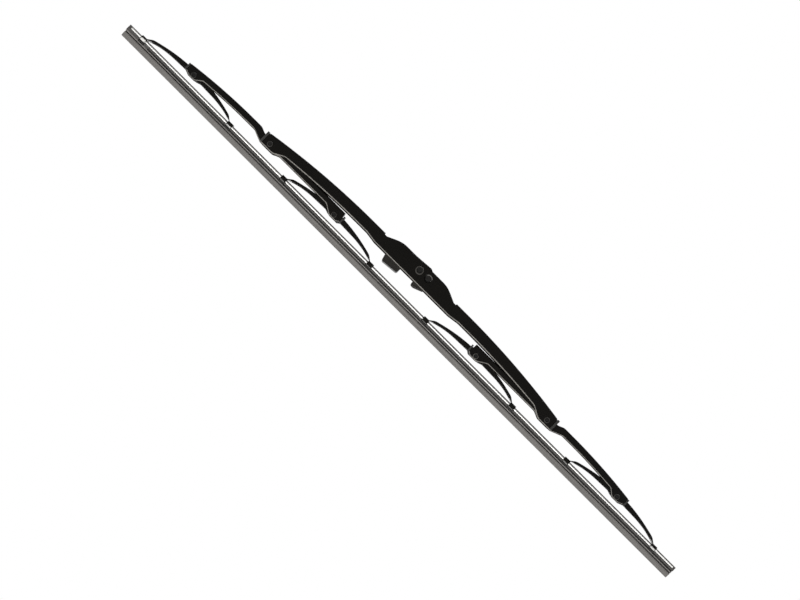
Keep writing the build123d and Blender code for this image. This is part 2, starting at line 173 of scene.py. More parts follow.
def bareAndHighlightShare(tree, place, axes, legs):  # pale patch on each claw leg, partly rubbed-bare steel and partly a painted highlight, with a ragged border
    borderNoise = addNode(tree, "ShaderNodeTexNoise", links={
        "Vector": place, "Scale": 1 / (coat["borderNoise"] * mm), "Detail": 3.0})
    ragged = addNode(tree, "ShaderNodeMapRange", links={
        "Value": borderNoise.outputs["Fac"],
        "From Min": coat["borderNoiseRange"][0], "From Max": coat["borderNoiseRange"][1],
        "To Min": -coat["ragged"] * mm, "To Max": coat["ragged"] * mm})
    height = addNode(tree, "ShaderNodeMath", {"operation": "ADD"}, {
        0: axes.outputs["Z"], 1: ragged.outputs["Result"]})
    bareAndHighlight = 0.0
    for leg in legs:
        low, high = lip + leg["low"], lip + leg["high"]
        off = addNode(tree, "ShaderNodeMath", {"operation": "SUBTRACT"}, {
            0: axes.outputs["X"], 1: leg["middle"] * mm})
        away = addNode(tree, "ShaderNodeMath", {"operation": "ABSOLUTE"}, {0: off.outputs["Value"]})
        strayed = addNode(tree, "ShaderNodeMath", {"operation": "ADD"}, {
            0: away.outputs["Value"], 1: ragged.outputs["Result"]})
        inside = addNode(tree, "ShaderNodeMapRange", links={
            "Value": strayed.outputs["Value"],
            "From Min": coat["legHalf"] * mm, "From Max": (coat["legHalf"] - coat["legFade"]) * mm})
        above = addNode(tree, "ShaderNodeMapRange", links={
            "Value": height.outputs["Value"],
            "From Min": low * mm, "From Max": (low + coat["bandFade"]) * mm})
        below = addNode(tree, "ShaderNodeMapRange", links={
            "Value": height.outputs["Value"],
            "From Min": high * mm, "From Max": (high - coat["bandFade"]) * mm})
        band = addNode(tree, "ShaderNodeMath", {"operation": "MULTIPLY"}, {
            0: above.outputs["Result"], 1: below.outputs["Result"]})
        spot = addNode(tree, "ShaderNodeMath", {"operation": "MULTIPLY"}, {
            0: band.outputs["Value"], 1: inside.outputs["Result"]})
        # share of the pale band: partly bare steel, partly a painted highlight
        paintedLight = addNode(tree, "ShaderNodeMath", {"operation": "MULTIPLY"}, {
            0: spot.outputs["Value"], 1: leg["share"]})
        bareAndHighlight = addNode(tree, "ShaderNodeMath", {"operation": "MAXIMUM"}, {
            0: bareAndHighlight, 1: paintedLight.outputs["Value"]}).outputs["Value"]
    return bareAndHighlight


def coatedSteel(name, wallFrom, edgesAbove, bareAndHighlightLegs=()):
    material, tree, place, shader = startMaterial(name)
    axes = addNode(tree, "ShaderNodeSeparateXYZ", links={"Vector": place})
    normal = addNode(tree, "ShaderNodeTexCoord").outputs["Normal"]
    facing = addNode(tree, "ShaderNodeSeparateXYZ", links={"Vector": normal})
    patch = addNode(tree, "ShaderNodeTexNoise", links={
        "Vector": place, "Scale": 1 / (coat["patch"] * mm), "Detail": 5.0})
    tone = addNode(tree, "ShaderNodeMix", {"data_type": "RGBA"}, {
        "Factor": patch.outputs["Fac"], "A": linear(coat["black"]), "B": linear(coat["dust"])})
    # painted highlight, partly thin coat: edges that look down and lie in the side walls, above the claws,
    # are painted lighter grey
    down = addNode(tree, "ShaderNodeMapRange", {"interpolation_type": "SMOOTHSTEP"}, {
        "Value": facing.outputs["Z"], "From Min": coat["turn"][0], "From Max": coat["turn"][1]})
    aside = addNode(tree, "ShaderNodeMath", {"operation": "ABSOLUTE"}, {0: axes.outputs["Y"]})
    wall = addNode(tree, "ShaderNodeMath", {"operation": "GREATER_THAN"}, {
        0: aside.outputs["Value"], 1: wallFrom * mm})
    arm = addNode(tree, "ShaderNodeMath", {"operation": "GREATER_THAN"}, {
        0: axes.outputs["Z"], 1: edgesAbove * mm})
    armWall = addNode(tree, "ShaderNodeMath", {"operation": "MULTIPLY"}, {
        0: arm.outputs["Value"], 1: wall.outputs["Value"]})
    hole = addNode(tree, "ShaderNodeMapRange", links={
        "Value": axes.outputs["Z"], "From Min": (coat["holesAbove"] - coat["holeFade"]) * mm,
        "From Max": coat["holesAbove"] * mm, "To Min": 1.0, "To Max": coat["holeEdge"]})
    reached = addNode(tree, "ShaderNodeMath", {"operation": "MULTIPLY"}, {
        0: armWall.outputs["Value"], 1: hole.outputs["Result"]})
    fleck = addNode(tree, "ShaderNodeTexNoise", links={
        "Vector": place, "Scale": 1 / (coat["fleck"] * mm), "Detail": 3.0})
    broken = addNode(tree, "ShaderNodeMapRange", links={
        "Value": fleck.outputs["Fac"], "To Min": coat["edgeLeast"],
        "From Min": coat["fleckRange"][0], "From Max": coat["fleckRange"][1]})
    edge = addNode(tree, "ShaderNodeMath", {"operation": "MULTIPLY"}, {
        0: down.outputs["Result"], 1: reached.outputs["Value"]})
    wearAndHighlight = addNode(tree, "ShaderNodeMath", {"operation": "MULTIPLY"}, {
        0: edge.outputs["Value"], 1: broken.outputs["Result"]})
    # painted highlight on the down-facing edges, partly the coat's thin cut edges
    colour = addNode(tree, "ShaderNodeMix", {"data_type": "RGBA"}, {
        "Factor": wearAndHighlight.outputs["Value"], "A": tone.outputs["Result"], "B": linear(coat["edge"])})
    rough = addNode(tree, "ShaderNodeMapRange", links={
        "Value": wearAndHighlight.outputs["Value"], "To Min": coat["roughness"], "To Max": coat["edgeRoughness"]})
    peel = addNode(tree, "ShaderNodeTexNoise", links={
        "Vector": place, "Scale": 1 / (coat["peel"] * mm), "Detail": 1.0})
    bump = addNode(tree, "ShaderNodeBump", links={
        "Height": peel.outputs["Fac"], "Strength": coat["peelShare"], "Distance": coat["peelDepth"] * mm})
    if bareAndHighlightLegs:
        bareAndHighlight = bareAndHighlightShare(tree, place, axes, bareAndHighlightLegs)
        # pale claw-leg band: partly rubbed-bare steel, partly a painted highlight from light below
        colour = addNode(tree, "ShaderNodeMix", {"data_type": "RGBA"}, {
            "Factor": bareAndHighlight, "A": colour.outputs["Result"], "B": linear(coat["zinc"])})
        rough = addNode(tree, "ShaderNodeMapRange", links={
            "Value": bareAndHighlight, "To Min": rough.outputs["Result"], "To Max": coat["legPatchRoughness"]})
        tree.links.new(bareAndHighlight, shader.inputs["Metallic"])
    tree.links.new(colour.outputs["Result"], shader.inputs["Base Color"])
    tree.links.new(rough.outputs["Result"], shader.inputs["Roughness"])
    tree.links.new(bump.outputs["Normal"], shader.inputs["Normal"])
    shader.inputs["Specular IOR Level"].default_value = coat["gloss"]  # a thin dull film
    return material


# coated rivet heads: cold-formed, the raised ring painted grey, partly rubbed steel and partly a painted
# highlight
rivet = {
    "black": "#11100e", "ring": "#68655f", "roughness": 0.36, "gloss": 0.3, "peelShare": 0.3,
    "peel": 0.8, "peelDepth": 0.02, "fleck": 1.2, "ringFade": 0.3,  # mm
}


def rivetSteel(name, centre, ringFrom, ringTo, share):  # centre and radii in mm, and how strongly the grey ring is painted
    material, tree, place, shader = startMaterial(name)
    shift = addNode(tree, "ShaderNodeMapping", links={
        "Vector": place, "Location": (-centre.x * mm, 0, -centre.z * mm), "Scale": (1, 0, 1)})
    reach = addNode(tree, "ShaderNodeVectorMath", {"operation": "LENGTH"}, {0: shift.outputs["Vector"]})
    inner = addNode(tree, "ShaderNodeMapRange", {"interpolation_type": "SMOOTHSTEP"}, {
        "Value": reach.outputs["Value"],
        "From Min": ringFrom * mm, "From Max": (ringFrom + rivet["ringFade"]) * mm})
    outer = addNode(tree, "ShaderNodeMapRange", {"interpolation_type": "SMOOTHSTEP"}, {
        "Value": reach.outputs["Value"],
        "From Min": ringTo * mm, "From Max": (ringTo - rivet["ringFade"]) * mm})
    fleck = addNode(tree, "ShaderNodeTexNoise", links={
        "Vector": place, "Scale": 1 / (rivet["fleck"] * mm), "Detail": 3.0})
    ring = addNode(tree, "ShaderNodeMath", {"operation": "MULTIPLY"}, {
        0: inner.outputs["Result"], 1: outer.outputs["Result"]})
    spotty = addNode(tree, "ShaderNodeMath", {"operation": "MULTIPLY"}, {
        0: ring.outputs["Value"], 1: fleck.outputs["Fac"]})
    wearAndHighlight = addNode(tree, "ShaderNodeMath", {"operation": "MULTIPLY"}, {
        0: spotty.outputs["Value"], 1: share})
    # grey ring: partly rubbed steel, partly a painted highlight on the raised rim
    colour = addNode(tree, "ShaderNodeMix", {"data_type": "RGBA"}, {
        "Factor": wearAndHighlight.outputs["Value"], "A": linear(rivet["black"]), "B": linear(rivet["ring"])})
    peel = addNode(tree, "ShaderNodeTexNoise", links={
        "Vector": place, "Scale": 1 / (rivet["peel"] * mm), "Detail": 1.0})
    bump = addNode(tree, "ShaderNodeBump", links={
        "Height": peel.outputs["Fac"], "Strength": rivet["peelShare"], "Distance": rivet["peelDepth"] * mm})
    tree.links.new(colour.outputs["Result"], shader.inputs["Base Color"])
    tree.links.new(bump.outputs["Normal"], shader.inputs["Normal"])
    shader.inputs["Roughness"].default_value = rivet["roughness"]
    shader.inputs["Specular IOR Level"].default_value = rivet["gloss"]
    return material


# black nylon liners: injection moulded, duller than the coat, with a fine grain
nylon = {
    "dark": "#1a1917", "pale": "#262522", "roughness": 0.5, "grainShare": 0.3,
    "grain": 0.6, "grainDepth": 0.03,  # mm
}


def blackNylon():
    material, tree, place, shader = startMaterial("blackNylon")
    grain = addNode(tree, "ShaderNodeTexNoise", links={
        "Vector": place, "Scale": 1 / (nylon["grain"] * mm), "Detail": 3.0})
    colour = addNode(tree, "ShaderNodeMix", {"data_type": "RGBA"}, {
        "Factor": grain.outputs["Fac"], "A": linear(nylon["dark"]), "B": linear(nylon["pale"])})
    bump = addNode(tree, "ShaderNodeBump", links={
        "Height": grain.outputs["Fac"],
        "Strength": nylon["grainShare"], "Distance": nylon["grainDepth"] * mm})
    tree.links.new(colour.outputs["Result"], shader.inputs["Base Color"])
    tree.links.new(bump.outputs["Normal"], shader.inputs["Normal"])
    shader.inputs["Roughness"].default_value = nylon["roughness"]
    return material


# charcoal acetal clip: moulded in a spark-eroded tool, so it has a coarse pebbled grain.
# Its cheeks, inside the bridge's walls and seen only through the side hole, are painted darker there: painted
# shade
acetal = {
    "dark": "#161411", "pale": "#24211c", "paintedLight": "#110f0d",
    "roughness": 0.38, "gloss": 0.3, "grainShare": 0.8,
    "grain": 0.7, "grainDepth": 0.08, "dust": 1.75,  # mm
    "cheekFrom": 4.8, "cheekFade": 0.3, "cheekLow": -7.0, "lowFade": 1.0,  # mm
}


def charcoalAcetal():
    material, tree, place, shader = startMaterial("charcoalAcetal")
    pebble = addNode(tree, "ShaderNodeTexVoronoi", {"feature": "SMOOTH_F1"}, {
        "Vector": place, "Scale": 1 / (acetal["grain"] * mm)})
    dust = addNode(tree, "ShaderNodeTexNoise", links={
        "Vector": place, "Scale": 1 / (acetal["dust"] * mm), "Detail": 4.0})
    dusty = addNode(tree, "ShaderNodeMix", {"data_type": "RGBA"}, {
        "Factor": dust.outputs["Fac"], "A": linear(acetal["dark"]), "B": linear(acetal["pale"])})
    axes = addNode(tree, "ShaderNodeSeparateXYZ", links={"Vector": place})
    aside = addNode(tree, "ShaderNodeMath", {"operation": "ABSOLUTE"}, {0: axes.outputs["Y"]})
    cheek = addNode(tree, "ShaderNodeMapRange", links={
        "Value": aside.outputs["Value"], "From Min": acetal["cheekFrom"] * mm,
        "From Max": (acetal["cheekFrom"] + acetal["cheekFade"]) * mm})
    covered = addNode(tree, "ShaderNodeMapRange", links={
        "Value": axes.outputs["Z"], "From Min": acetal["cheekLow"] * mm,
        "From Max": (acetal["cheekLow"] + acetal["lowFade"]) * mm})
    # painted shade on the cheeks inside the bridge's walls
    paintedLight = addNode(tree, "ShaderNodeMath", {"operation": "MULTIPLY"}, {
        0: cheek.outputs["Result"], 1: covered.outputs["Result"]})
    colour = addNode(tree, "ShaderNodeMix", {"data_type": "RGBA"}, {
        "Factor": paintedLight.outputs["Value"], "A": dusty.outputs["Result"], "B": linear(acetal["paintedLight"])})
    bump = addNode(tree, "ShaderNodeBump", links={
        "Height": pebble.outputs["Distance"],
        "Strength": acetal["grainShare"], "Distance": acetal["grainDepth"] * mm})
    tree.links.new(colour.outputs["Result"], shader.inputs["Base Color"])
    tree.links.new(bump.outputs["Normal"], shader.inputs["Normal"])
    shader.inputs["Roughness"].default_value = acetal["roughness"]
    shader.inputs["Specular IOR Level"].default_value = acetal["gloss"]
    return material


# wiping rubber: extruded natural rubber, chlorinated on the outside, a dusty grey. The wedge and stop are
# painted paler and the body darker, painted light and shade for how each face meets the light from below. The
# hinge and claw groove are painted black as painted shade, and the die leaves faint lines along it
rubberFinish = {
    "wedge": "#696663", "stop": "#827e7b", "body": "#464442", "groove": "#151412",
    "dust": "#504d4a", "streak": "#423f3d", "roughness": 0.62,
    "die": 0.9, "dieRun": 80.0, "dieDepth": 0.03, "cloud": 9.0, "zoneFade": 0.2, "grooveFade": 0.3,  # mm
    "cloudRange": (0.35, 0.75), "cloudShare": 0.3, "streakRange": (0.45, 0.75), "streakShare": 0.5,
    "dieShare": 0.3, "stopLap": 0.1,  # mm, the stop's colour begins this far under it
}


def wipingRubber(stopFrom, bodyFrom, grooveFrom, grooveHalf):  # heights above the lip, mm
    material, tree, place, shader = startMaterial("chlorinatedRubber", bends=True)
    axes = addNode(tree, "ShaderNodeSeparateXYZ", links={"Vector": place})
    run = 1 / (rubberFinish["dieRun"] * mm)
    fine = 1 / (rubberFinish["die"] * mm)
    drawn = addNode(tree, "ShaderNodeMapping", links={"Vector": place, "Scale": (run, fine, fine)})
    lines = addNode(tree, "ShaderNodeTexNoise", links={
        "Vector": drawn.outputs["Vector"], "Scale": 1.0, "Detail": 2.0})
    cloud = addNode(tree, "ShaderNodeTexNoise", links={
        "Vector": place, "Scale": 1 / (rubberFinish["cloud"] * mm), "Detail": 4.0})
    # painted light and shade: wedge and stop paler, body darker
    aboveHinge = addNode(tree, "ShaderNodeMath", {"operation": "GREATER_THAN"}, {
        0: axes.outputs["Z"], 1: (lip + stopFrom) * mm})
    lower = addNode(tree, "ShaderNodeMix", {"data_type": "RGBA"}, {
        "Factor": aboveHinge.outputs["Value"],
        "A": linear(rubberFinish["wedge"]), "B": linear(rubberFinish["stop"])})
    upper = addNode(tree, "ShaderNodeMapRange", links={
        "Value": axes.outputs["Z"], "From Min": (lip + bodyFrom) * mm,
        "From Max": (lip + bodyFrom + rubberFinish["zoneFade"]) * mm})
    zone = addNode(tree, "ShaderNodeMix", {"data_type": "RGBA"}, {
        "Factor": upper.outputs["Result"],
        "A": lower.outputs["Result"], "B": linear(rubberFinish["body"])})
    clouded = addNode(tree, "ShaderNodeMapRange", links={
        "Value": cloud.outputs["Fac"], "To Max": rubberFinish["cloudShare"],
        "From Min": rubberFinish["cloudRange"][0], "From Max": rubberFinish["cloudRange"][1]})
    dusty = addNode(tree, "ShaderNodeMix", {"data_type": "RGBA"}, {
        "Factor": clouded.outputs["Result"],
        "A": zone.outputs["Result"], "B": linear(rubberFinish["dust"])})
    streaked = addNode(tree, "ShaderNodeMapRange", links={
        "Value": lines.outputs["Fac"], "To Max": rubberFinish["streakShare"],
        "From Min": rubberFinish["streakRange"][0], "From Max": rubberFinish["streakRange"][1]})
    wiped = addNode(tree, "ShaderNodeMix", {"data_type": "RGBA"}, {
        "Factor": streaked.outputs["Result"],
        "A": dusty.outputs["Result"], "B": linear(rubberFinish["streak"])})
    # painted shade: hinge and claw groove painted black
    aside = addNode(tree, "ShaderNodeMath", {"operation": "ABSOLUTE"}, {0: axes.outputs["Y"]})
    deep = addNode(tree, "ShaderNodeMapRange", links={
        "Value": aside.outputs["Value"],
        "From Min": (grooveHalf + rubberFinish["grooveFade"]) * mm, "From Max": grooveHalf * mm})
    aboveWedge = addNode(tree, "ShaderNodeMath", {"operation": "GREATER_THAN"}, {
        0: axes.outputs["Z"], 1: (lip + grooveFrom) * mm})
    groove = addNode(tree, "ShaderNodeMath", {"operation": "MULTIPLY"}, {
        0: deep.outputs["Result"], 1: aboveWedge.outputs["Value"]})
    colour = addNode(tree, "ShaderNodeMix", {"data_type": "RGBA"}, {
        "Factor": groove.outputs["Value"],
        "A": wiped.outputs["Result"], "B": linear(rubberFinish["groove"])})
    bump = addNode(tree, "ShaderNodeBump", links={
        "Height": lines.outputs["Fac"],
        "Strength": rubberFinish["dieShare"], "Distance": rubberFinish["dieDepth"] * mm})
    tree.links.new(colour.outputs["Result"], shader.inputs["Base Color"])
    tree.links.new(bump.outputs["Normal"], shader.inputs["Normal"])
    shader.inputs["Roughness"].default_value = rubberFinish["roughness"]
    return material


# galvanised spring-steel rails: rolled, slit and hot dipped, so a frosted, nearly white zinc skin
# with a wide soft gleam and faint rolling lines along the strip
railFinish = {
    "zinc": "#fbfaf7", "shade": "#efeeeb", "roughness": (0.5, 0.6),
    "line": 0.6, "run": 60.0,  # mm
}


def galvanisedStrip():
    material, tree, place, shader = startMaterial("galvanisedSpringSteel", bends=True)
    run = 1 / (railFinish["run"] * mm)
    fine = 1 / (railFinish["line"] * mm)
    drawn = addNode(tree, "ShaderNodeMapping", links={"Vector": place, "Scale": (run, fine, fine)})
    lines = addNode(tree, "ShaderNodeTexNoise", links={
        "Vector": drawn.outputs["Vector"], "Scale": 1.0, "Detail": 3.0})
    colour = addNode(tree, "ShaderNodeMix", {"data_type": "RGBA"}, {
        "Factor": lines.outputs["Fac"],
        "A": linear(railFinish["shade"]), "B": linear(railFinish["zinc"])})
    rough = addNode(tree, "ShaderNodeMapRange", links={
        "Value": lines.outputs["Fac"],
        "To Min": railFinish["roughness"][0], "To Max": railFinish["roughness"][1]})
    tree.links.new(colour.outputs["Result"], shader.inputs["Base Color"])
    tree.links.new(rough.outputs["Result"], shader.inputs["Roughness"])
    shader.inputs["Metallic"].default_value = 1.0
    return material


# pressed steel, rivets, liners and clip keep their CAD form

sides = {"left": -1, "right": 1}
places = ("outer", "inner")
claws = {  # mm along the blade, and the height above the lip that their own crimped edges stay under
    "end": 261.7, "outerIn": 173.1, "innerOut": 117.2, "innerIn": 28.6, "half": 2.5, "top": 10.3,
}
wallsFrom = {"bridge": 4.6, "arm": 3.0}  # mm from the middle plane, side walls lie beyond
rubbedAndHighlightLegs = {  # heights above the lip in mm, and how strongly each leg's pale band is painted, partly bare steel and partly a painted highlight
    "outer_left": (
        {"middle": -claws["end"], "low": 7.0, "high": 9.5, "share": 1.0},
        {"middle": -claws["outerIn"], "low": 7.0, "high": 8.5, "share": 0.9}),
    "inner_left": (
        {"middle": -claws["innerOut"], "low": 6.8, "high": 7.8, "share": 0.35},
        {"middle": -claws["innerIn"], "low": 6.8, "high": 7.8, "share": 0.25}),
    "inner_right": (
        {"middle": claws["innerIn"], "low": 6.8, "high": 7.8, "share": 0.25},
        {"middle": claws["innerOut"], "low": 6.8, "high": 7.8, "share": 0.35}),
    "outer_right": (
        {"middle": claws["outerIn"], "low": 6.8, "high": 7.9, "share": 0.5},
        {"middle": claws["end"], "low": 7.0, "high": 9.0, "share": 0.9}),
}
rivetRings = {  # inner and outer radius in mm, and how strongly the grey ring is painted
    "cross_pin": (2.3, 3.25, 0.8),
    "bridge_rivet_left": (1.5, 2.25, 0.6),
    "bridge_rivet_right": (1.5, 2.25, 0.5),
    "claw_rivet_outer_left": (1.5, 2.25, 0.3),
    "claw_rivet_inner_left": (1.5, 2.25, 0.7),
    "claw_rivet_inner_right": (1.5, 2.25, 1.3),
    "claw_rivet_outer_right": (1.5, 2.25, 0.6),
}
clawTop = lip + claws["top"]
paint(["primary_bridge"], coatedSteel("eCoatedBridge", wallsFrom["bridge"], clawTop))
paint([f"secondary_bridge_{side}" for side in sides],
      coatedSteel("eCoatedArm", wallsFrom["arm"], clawTop))
for lever, legs in rubbedAndHighlightLegs.items():
    paint([f"claw_lever_{lever}"], coatedSteel(f"eCoatedLever_{lever}", wallsFrom["arm"], clawTop, legs))
liner = blackNylon()
paint([f"bridge_bush_{side}" for side in sides], liner)
paint([f"claw_bush_{place}_{side}" for place in places for side in sides], liner)
paint(["arm_clip"], charcoalAcetal())
for name, ring in rivetRings.items():
    low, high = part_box(name)
    centre = (low + high) / (2 * mm)
    paint([name], rivetSteel(f"rivetSteel_{name}", centre, *ring))
print("materials on", len(painted), "CAD nodes")


# wiping rubber and rails: lengths that follow the claws

spread = {"gap": 145.2, "lever": 72.9, "centre": 19.5}  # mm along the blade, where lengths meet


def lengthsOfSide(side, sign, end):  # each turns from its first body to its second between two places
    outer, inner, bridge = f"claw_outer_{side}", f"claw_inner_{side}", f"secondary_{side}"
    gap, lever, centre = [sign * spread[key] for key in ("gap", "lever", "centre")]
    outerLeaves = sign * (claws["outerIn"] - claws["half"])
    innerGrips = sign * (claws["innerOut"] + claws["half"])
    innerLeaves = sign * (claws["innerIn"] - claws["half"])
    return [
        {"part": "End", "reach": (end, gap), "bodies": (outer, bridge), "turn": (outerLeaves, gap)},
        {"part": "Gap", "reach": (gap, lever), "bodies": (bridge, inner), "turn": (gap, innerGrips)},
        {"part": "Lever", "reach": (lever, centre), "bodies": (inner, bridge), "turn": (innerLeaves, centre)},
        {"part": "Middle", "reach": (centre, 0), "bodies": (bridge, "primary"), "turn": (centre, 0)},
    ]


strip = {  # half widths and heights above the lip, mm
    "lipHalf": 0.4, "wedgeHalf": 1.9, "shoulder": 3.2, "wedgeTop": 4.0,
    "hingeHalf": 0.5, "hingeTop": 4.65, "stopHalf": 2.6, "stopTop": 5.45,
    "neckHalf": 1.4, "bodyBottom": 6.49, "bodyHalf": 3.9, "slotBottom": 7.97,
    "spineHalf": 1.2, "slotTop": 9.19, "headHalf": 3.7, "height": 9.99,
    "soft": 0.16, "softSegments": 2, "sharpBelow": 0.5,  # moulded edges, but a sharp cut lip
    "endWall": {"left": 2.0, "right": 1.2}, "endRound": {"left": 0.4, "right": 1.2}, "endSegments": 6,
    "lockBlock": 4.0, "lockGap": 0.35, "lap": 0.1,  # blocks beside the left end claw
    "cutSpacing": 2.4, "smoothAngle": 35, "flatAngle": 1,  # mm, degrees
}


def widen(low, high, amount):  # pushes both side walls of a layer out
    for side in (-1, 1):
        pick("FACE", lambda face: face.normal.y * side > square
             and lip + low < face.calc_center_median().z / mm < lip + high)
        bpy.ops.mesh.extrude_region_move(TRANSFORM_OT_translate={"value": (0, side * amount * mm, 0)})


def rubberPiece(name, x0, x1):
    hinge = strip["hingeHalf"]
    piece = startBlock(name, (min(x0, x1), -hinge, lip), (max(x0, x1), hinge, lip + strip["height"]))
    bpy.ops.object.mode_set(mode="EDIT")
    for level in ("wedgeTop", "hingeTop", "stopTop", "bodyBottom", "slotBottom", "slotTop"):
        bpy.ops.mesh.select_all(action="SELECT")
        bpy.ops.mesh.bisect(plane_co=(0, 0, (lip + strip[level]) * mm), plane_no=(0, 0, 1))
    # layers grow out of the narrow hinge one after the other
    widen(strip["hingeTop"], strip["height"], strip["spineHalf"] - hinge)
    widen(strip["hingeTop"], strip["slotBottom"], strip["neckHalf"] - strip["spineHalf"])
    widen(strip["hingeTop"], strip["stopTop"], strip["stopHalf"] - strip["neckHalf"])
    widen(strip["bodyBottom"], strip["slotBottom"], strip["bodyHalf"] - strip["neckHalf"])
    widen(strip["slotTop"], strip["height"], strip["headHalf"] - strip["spineHalf"])
    widen(0, strip["wedgeTop"], strip["wedgeHalf"] - hinge)
    bpy.ops.mesh.select_all(action="SELECT")
    bpy.ops.mesh.dissolve_limited(angle_limit=math.radians(strip["flatAngle"]))
    bpy.ops.mesh.select_all(action="SELECT")
    bpy.ops.mesh.bisect(plane_co=(0, 0, (lip + strip["shoulder"]) * mm), plane_no=(0, 0, 1))
    pick("VERT", lambda vert: vert.co.z / mm < lip + hair)
    narrow = strip["lipHalf"] / strip["wedgeHalf"]
    bpy.ops.transform.resize(value=(1, narrow, 1), center_override=(0, 0, lip * mm))
    pick("EDGE", lambda edge: alongX(edge) and edge.is_convex
         and middle(edge).z / mm > lip + strip["sharpBelow"])
    bpy.ops.mesh.bevel(offset=strip["soft"] * mm, segments=strip["softSegments"], affect="EDGES")
    crossCuts(strip["cutSpacing"])
    bpy.ops.object.mode_set(mode="OBJECT")
    return piece


def endBlock(x0, x1, low, high):
    half = strip["headHalf"]
    return startBlock("endBlock", (min(x0, x1), -half, lip + low), (max(x0, x1), half, lip + high))


def closeEnd(piece, end, sign, thickness, radius):  # wall past the rails, its top corner rounded
    bpy.ops.object.mode_set(mode="EDIT")
    pick("FACE", lambda face: face.normal.x * sign > square
         and face.calc_center_median().z / mm < lip + strip["bodyBottom"])
    bpy.ops.mesh.extrude_region_move(TRANSFORM_OT_translate={"value": (sign * thickness * mm, 0, 0)})
    bpy.ops.object.mode_set(mode="OBJECT")
    wall = endBlock(end - sign * thickness, end, strip["bodyBottom"], strip["height"])
    bpy.ops.object.mode_set(mode="EDIT")
    pick("EDGE", lambda edge: middle(edge).z / mm > lip + strip["height"] - hair
         and abs(middle(edge).x / mm - end) < hair)
    bpy.ops.mesh.bevel(offset=radius * mm, segments=strip["endSegments"], affect="EDGES")
    bpy.ops.object.mode_set(mode="OBJECT")
    weld(piece, wall)


def lockClaw(piece, end):  # blocks in the claw groove hold the left end claw
    low, high = strip["stopTop"] - strip["lap"], strip["bodyBottom"] + strip["lap"]
    room = claws["half"] + strip["lockGap"]
    outside, inside = -claws["end"] - room, -claws["end"] + room
    weld(piece, endBlock(end, outside, low, high))
    weld(piece, endBlock(inside, inside + strip["lockBlock"], low, high))


rail = {  # mm, heights above the lip
    "inner": 1.25, "outer": 3.9, "low": 8.0, "high": 9.16, "soft": 0.14, "softSegments": 2,
    "endRound": 0.9, "endSegments": 4, "play": 0.05,
    "upright": 0.5, "longEdge": 5.0,  # least rise of an end's corner, and least length of a long edge
}


def railPiece(name, side, x0, x1, roundedEnd):
    near, far = sorted((side * rail["inner"], side * rail["outer"]))
    piece = startBlock(name, (min(x0, x1), near, lip + rail["low"]), (max(x0, x1), far, lip + rail["high"]))
    bpy.ops.object.mode_set(mode="EDIT")
    if roundedEnd is not None:
        pick("EDGE", lambda edge: abs(middle(edge).x / mm - roundedEnd) < hair
             and abs(edge.verts[0].co.z - edge.verts[1].co.z) > rail["upright"] * mm)
        bpy.ops.mesh.bevel(offset=rail["endRound"] * mm, segments=rail["endSegments"], affect="EDGES")
    pick("EDGE", lambda edge: alongX(edge) and edge.is_convex and edge.calc_length() > rail["longEdge"] * mm)
    bpy.ops.mesh.bevel(offset=rail["soft"] * mm, segments=rail["softSegments"], affect="EDGES")
    crossCuts(strip["cutSpacing"], lambda edge: alongX(edge) and edge.calc_length() > rail["longEdge"] * mm)
    bpy.ops.object.mode_set(mode="OBJECT")
    return piece


def finishPiece(piece, material, node):
    smooth(piece, strip["smoothAngle"])
    rest = piece.data.attributes.new("restPlace", "FLOAT_VECTOR", "POINT")
    for vert in piece.data.vertices:
        rest.data[vert.index].vector = vert.co
    piece.data.materials.clear()
    piece.data.materials.append(material)
    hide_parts(node)
    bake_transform(piece)


rubberLook = wipingRubber(
    strip["hingeTop"] - rubberFinish["stopLap"], strip["stopTop"], strip["wedgeTop"], strip["neckHalf"])
railLook = galvanisedStrip()
ends = {"left": rubberLow.x / mm, "right": rubberHigh.x / mm}
made = 0
for side, sign in sides.items():
    for length in lengthsOfSide(side, sign, ends[side]):
        x0, x1 = length["reach"]
        name = side + length["part"]
        railEnd = None
        if length["part"] == "End":
            wall = strip["endWall"][side]
            inside = x0 - sign * wall
            piece = rubberPiece(f"rubber_{name}", inside, x1)
            closeEnd(piece, x0, sign, wall, strip["endRound"][side])
            if side == "left":
                lockClaw(piece, x0)
            railEnd = inside - sign * rail["play"]
            x0 = railEnd
        else:
            piece = rubberPiece(f"rubber_{name}", x0, x1)
        finishPiece(piece, rubberLook, "wiping_rubber")
        for label, across in (("near", -1), ("far", 1)):
            piece = railPiece(f"rail_{label}_{name}", across, x0, x1, railEnd)
            finishPiece(piece, railLook, f"rail_{label}")
        made += 3
print("rubber and rails in", made, "lengths")


# stage: pale floor well below, white background, soft lamps

stage = {
    "white": "#ffffff", "floor": "#f2f2f0", "glow": 0.85,
    "floorDrop": 0.6, "floorSize": 40.0,  # metres
    "shadowTo": 0.5, "whiteFrom": 1.6,  # metres from the middle
}
deselectAll()
bpy.ops.mesh.primitive_plane_add(size=stage["floorSize"], location=(0, 0, -stage["floorDrop"]))
floor = bpy.context.object
floor.name = "paleFloor"
floorLook = bpy.data.materials.new("paleFloor")
floorLook.use_nodes = True
tree = floorLook.node_tree
tree.nodes.clear()
ray = addNode(tree, "ShaderNodeLightPath")
mirrored = addNode(tree, "ShaderNodeMath", {"operation": "MAXIMUM"}, {
    0: ray.outputs["Is Glossy Ray"], 1: ray.outputs["Is Transmission Ray"]})
seen = addNode(tree, "ShaderNodeMath", {"operation": "MAXIMUM"}, {
    0: ray.outputs["Is Camera Ray"], 1: mirrored.outputs["Value"]})
spot = addNode(tree, "ShaderNodeTexCoord")
away = addNode(tree, "ShaderNodeVectorMath", {"operation": "LENGTH"}, {0: spot.outputs["Object"]})
fade = addNode(tree, "ShaderNodeMapRange", {"interpolation_type": "SMOOTHSTEP"}, {
    "Value": away.outputs["Value"], "From Min": stage["shadowTo"], "From Max": stage["whiteFrom"],
    "To Min": stage["glow"], "To Max": 1.0})
